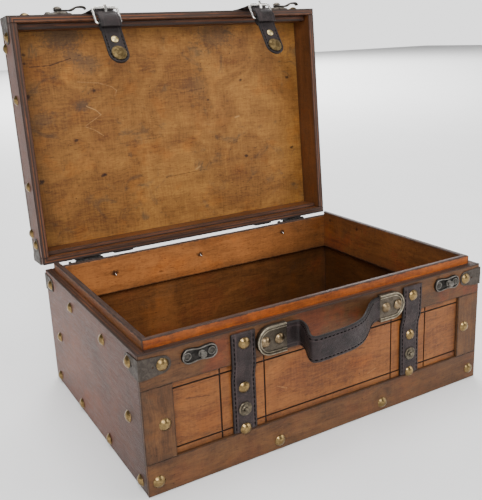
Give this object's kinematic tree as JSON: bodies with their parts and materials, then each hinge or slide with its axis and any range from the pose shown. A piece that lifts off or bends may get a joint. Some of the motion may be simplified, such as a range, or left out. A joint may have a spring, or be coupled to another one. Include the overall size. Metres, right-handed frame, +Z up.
{
  "type": "footlocker",
  "caption": "Open wooden footlocker: grooved stained-plywood box and hinged lid with leather straps, roller buckles, press studs, swing hooks and a curved leather carry handle.",
  "frame": {"origin": "centre of the underside of the box body, on the surface it stands on", "axes": "+X to the right along the front, +Y from the front towards the hinges at the back, +Z up; the lid is open in the rest pose"},
  "size_m": [0.388, 0.3725, 0.4036],
  "materials": {
    "orange_ply": "satin orange-brown stained plywood",
    "brown_ply": "satin brown stained plywood",
    "mauve_stain": "smooth purple-grey stained board",
    "charcoal_leather": "matt stitched leather",
    "aged_brass": "antique polish, domed",
    "gunmetal": "dark satin plating",
    "bronze": "dark bronze with worn rims",
    "pewter": "dull pewter",
    "nickel": "bright nickel",
    "black_iron": "blackened"
  },
  "bodies": {
    "root": {"back_lip": "orange_ply", "back_panel": "brown_ply", "body_corner_brackets": "pewter", "body_nails": "aged_brass", "body_screws": "gunmetal", "bottom_panel": "brown_ply", "carry_handle": "charcoal_leather", "catch_plates": "gunmetal", "catch_studs": "gunmetal", "front_bottom_rail": "brown_ply", "front_lip": "orange_ply", "front_panel": "orange_ply", "front_stiles": "brown_ply", "front_top_rail": "brown_ply", "handle_end_caps": "bronze", "handle_rivets": "aged_brass", "hinge_body_leaves": "black_iron", "hinge_pins": "black_iron", "left_body_strap": "charcoal_leather", "left_lip": "orange_ply", "left_side_panel": "mauve_stain", "right_body_strap": "charcoal_leather", "right_lip": "orange_ply", "right_side_panel": "mauve_stain", "snap_studs": "gunmetal", "strap_nails": "aged_brass"},
    "lid": {"hinge_lid_leaves": "black_iron", "hinge_lid_screws": "gunmetal", "hook_base_plates": "gunmetal", "hook_pivot_rivets": "gunmetal", "left_lid_strap": "charcoal_leather", "lid_back_batten": "orange_ply", "lid_back_wall": "brown_ply", "lid_corner_brackets": "pewter", "lid_front_batten": "orange_ply", "lid_front_wall": "brown_ply", "lid_left_wall": "brown_ply", "lid_nails": "aged_brass", "lid_right_wall": "brown_ply", "lid_top_panel": "brown_ply", "right_lid_strap": "charcoal_leather"},
    "left_hook": {"left_hook": "gunmetal"},
    "left_bridge": {"left_strap_bridge": "charcoal_leather"},
    "left_buckle": {"left_buckle_frame": "nickel", "left_strap_tail": "charcoal_leather"},
    "left_roller": {"left_buckle_roller": "nickel"},
    "left_prong": {"left_buckle_prong": "nickel"},
    "left_strap_end": {"left_strap_end": "charcoal_leather", "left_snap_cap": "aged_brass", "left_strap_rivet": "aged_brass"},
    "right_hook": {"right_hook": "gunmetal"},
    "right_bridge": {"right_strap_bridge": "charcoal_leather"},
    "right_buckle": {"right_buckle_frame": "nickel", "right_strap_tail": "charcoal_leather"},
    "right_roller": {"right_buckle_roller": "nickel"},
    "right_prong": {"right_buckle_prong": "nickel"},
    "right_strap_end": {"right_strap_end": "charcoal_leather", "right_snap_cap": "aged_brass", "right_strap_rivet": "aged_brass"}
  },
  "joints": [
    {"name": "lid_hinge", "type": "hinge", "parent": "root", "child": "lid", "pos_m": [0, 0.1359, 0.1271], "axis": [1, 0, 0], "range_deg": [0, 94]},
    {"name": "left_hook_turn", "type": "hinge", "parent": "lid", "child": "left_hook", "pos_m": [-0.1349, 0.17025, 0.39325], "axis": [0, -0.0698, -0.9976], "range_deg": [0, 90]},
    {"name": "left_bridge_swing", "type": "hinge", "parent": "lid", "child": "left_bridge", "pos_m": [-0.0955, 0.16094, 0.39631], "axis": [1, 0, 0], "range_deg": [-23.5, 0]},
    {"name": "left_buckle_swing", "type": "hinge", "parent": "left_bridge", "child": "left_buckle", "pos_m": [-0.0955, 0.13407, 0.39909], "axis": [1, 0, 0], "range_deg": [-35.72, 0]},
    {"name": "left_strap_end_press", "type": "hinge", "parent": "left_buckle", "child": "left_strap_end", "pos_m": [-0.0955, 0.12323, 0.38349], "axis": [1, 0, 0], "range_deg": [0, 10]},
    {"name": "left_prong_lift", "type": "hinge", "parent": "left_buckle", "child": "left_prong", "pos_m": [-0.0955, 0.12323, 0.38349], "axis": [1, 0, 0], "range_deg": [0, 32]},
    {"name": "left_roller_spin", "type": "hinge", "parent": "left_buckle", "child": "left_roller", "pos_m": [-0.0955, 0.13407, 0.39909], "axis": [1, 0, 0], "continuous": true},
    {"name": "right_hook_turn", "type": "hinge", "parent": "lid", "child": "right_hook", "pos_m": [0.1442, 0.17025, 0.39325], "axis": [0, -0.0698, -0.9976], "range_deg": [0, 90]},
    {"name": "right_bridge_swing", "type": "hinge", "parent": "lid", "child": "right_bridge", "pos_m": [0.0955, 0.16094, 0.39631], "axis": [1, 0, 0], "range_deg": [-23.5, 0]},
    {"name": "right_buckle_swing", "type": "hinge", "parent": "right_bridge", "child": "right_buckle", "pos_m": [0.0955, 0.13407, 0.39909], "axis": [1, 0, 0], "range_deg": [-35.72, 0]},
    {"name": "right_strap_end_press", "type": "hinge", "parent": "right_buckle", "child": "right_strap_end", "pos_m": [0.0955, 0.12323, 0.38349], "axis": [1, 0, 0], "range_deg": [0, 10]},
    {"name": "right_prong_lift", "type": "hinge", "parent": "right_buckle", "child": "right_prong", "pos_m": [0.0955, 0.12323, 0.38349], "axis": [1, 0, 0], "range_deg": [0, 32]},
    {"name": "right_roller_spin", "type": "hinge", "parent": "right_buckle", "child": "right_roller", "pos_m": [0.0955, 0.13407, 0.39909], "axis": [1, 0, 0], "continuous": true}
  ],
  "couplings": [
    {"joint": "left_bridge_swing", "follows": "lid_hinge", "ratio": -0.25},
    {"joint": "left_buckle_swing", "follows": "lid_hinge", "ratio": -0.38},
    {"joint": "right_bridge_swing", "follows": "lid_hinge", "ratio": -0.25},
    {"joint": "right_buckle_swing", "follows": "lid_hinge", "ratio": -0.38}
  ]
}
